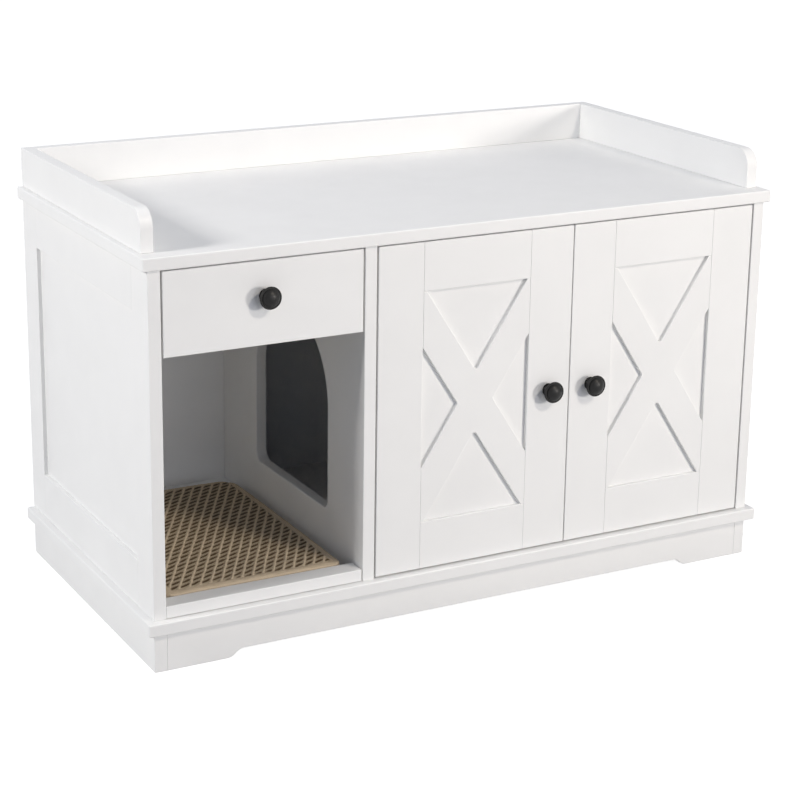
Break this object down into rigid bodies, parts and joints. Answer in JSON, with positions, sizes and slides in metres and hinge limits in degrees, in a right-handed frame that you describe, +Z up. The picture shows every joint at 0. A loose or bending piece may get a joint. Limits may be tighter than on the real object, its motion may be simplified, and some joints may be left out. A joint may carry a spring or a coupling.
{
  "type": "litter box enclosure",
  "caption": "White cabinet that hides a litter box: open bay with a sisal scratching pad, arched way through, X-braced doors, a drawer and a low gallery round the top.",
  "frame": {"origin": "on the floor, under the middle of the whole object's box, knobs included", "axes": "+X to the right seen from the front, +Y to the back, +Z up"},
  "size_m": [1, 0.5134, 0.631],
  "materials": {
    "painted_board": "white satin paint on MDF",
    "drawer_board": "white melamine on MDF",
    "raw_board": "raw MDF",
    "beech": "planed beech",
    "sisal": "woven sisal in beige and brown",
    "black_metal": "black satin",
    "nickel_steel": "nickel plated",
    "zinc_steel": "zinc plated",
    "powder_coated_steel": "white powder coat",
    "white_nylon": "moulded nylon"
  },
  "bodies": {
    "case": {"back_panel": "painted_board", "base_board": "painted_board", "case_dowels": "beech", "case_screws": "zinc_steel", "corner_blocks": "beech", "front_skirt": "painted_board", "gallery_back_rail": "painted_board", "gallery_left_rail": "painted_board", "gallery_right_rail": "painted_board", "hardware_screws": "zinc_steel", "hinge_arms": "nickel_steel", "hinge_pins": "nickel_steel", "hinge_plates": "nickel_steel", "left_bottom_rail": "painted_board", "left_front_stile": "painted_board", "left_rear_stile": "painted_board", "left_side_panel": "painted_board", "left_skirt": "painted_board", "left_top_rail": "painted_board", "pad_board": "raw_board", "partition": "painted_board", "rear_skirt": "painted_board", "right_bottom_rail": "painted_board", "right_front_stile": "painted_board", "right_rear_stile": "painted_board", "right_side_panel": "painted_board", "right_skirt": "painted_board", "right_top_rail": "painted_board", "sisal_cover": "sisal", "slide_channels": "powder_coated_steel", "threshold": "painted_board", "top_panel": "painted_board"},
    "drawer": {"drawer_back": "drawer_board", "drawer_bottom": "drawer_board", "drawer_front": "painted_board", "drawer_knob": "black_metal", "drawer_left_side": "drawer_board", "drawer_right_side": "drawer_board", "drawer_runners": "powder_coated_steel", "drawer_screws": "zinc_steel"},
    "left_door": {"left_door_bottom_rail": "painted_board", "left_door_hinge_cups": "nickel_steel", "left_door_hinge_stile": "painted_board", "left_door_knob": "black_metal", "left_door_latch_stile": "painted_board", "left_door_panel": "painted_board", "left_door_screws": "zinc_steel", "left_door_top_rail": "painted_board"},
    "right_door": {"right_door_bottom_rail": "painted_board", "right_door_hinge_cups": "nickel_steel", "right_door_hinge_stile": "painted_board", "right_door_knob": "black_metal", "right_door_latch_stile": "painted_board", "right_door_panel": "painted_board", "right_door_screws": "zinc_steel", "right_door_top_rail": "painted_board"},
    "left_channel_wheel": {"left_channel_roller": "white_nylon"},
    "right_channel_wheel": {"right_channel_roller": "white_nylon"},
    "left_runner_wheel": {"left_runner_roller": "white_nylon"},
    "right_runner_wheel": {"right_runner_roller": "white_nylon"}
  },
  "joints": [
    {"name": "left_door_hinge", "type": "hinge", "parent": "case", "child": "left_door", "pos_m": [-0.1395, -0.22375, 0.3155], "axis": [0, 0, -1], "range_deg": [0, 90]},
    {"name": "right_door_hinge", "type": "hinge", "parent": "case", "child": "right_door", "pos_m": [0.4525, -0.22375, 0.3155], "axis": [0, 0, 1], "range_deg": [0, 90]},
    {"name": "drawer_slide", "type": "slide", "parent": "case", "child": "drawer", "axis": [0, -1, 0], "range_m": [0, 0.28]},
    {"name": "left_channel_wheel_spin", "type": "hinge", "parent": "case", "child": "left_channel_wheel", "pos_m": [-0.4659, -0.20145, 0.5078], "axis": [1, 0, 0], "range_deg": [0, 1730]},
    {"name": "right_channel_wheel_spin", "type": "hinge", "parent": "case", "child": "right_channel_wheel", "pos_m": [-0.1811, -0.20145, 0.5078], "axis": [1, 0, 0], "range_deg": [0, 1730]},
    {"name": "left_runner_wheel_spin", "type": "hinge", "parent": "drawer", "child": "left_runner_wheel", "pos_m": [-0.4636, 0.17355, 0.5087], "axis": [1, 0, 0], "range_deg": [0, 1580]},
    {"name": "right_runner_wheel_spin", "type": "hinge", "parent": "drawer", "child": "right_runner_wheel", "pos_m": [-0.1834, 0.17355, 0.5087], "axis": [1, 0, 0], "range_deg": [0, 1580]}
  ],
  "couplings": [
    {"joint": "left_channel_wheel_spin", "follows": "drawer_slide", "rad_per_m": 107.53},
    {"joint": "right_channel_wheel_spin", "follows": "drawer_slide", "rad_per_m": 107.53},
    {"joint": "left_runner_wheel_spin", "follows": "drawer_slide", "rad_per_m": 98.039},
    {"joint": "right_runner_wheel_spin", "follows": "drawer_slide", "rad_per_m": 98.039}
  ]
}
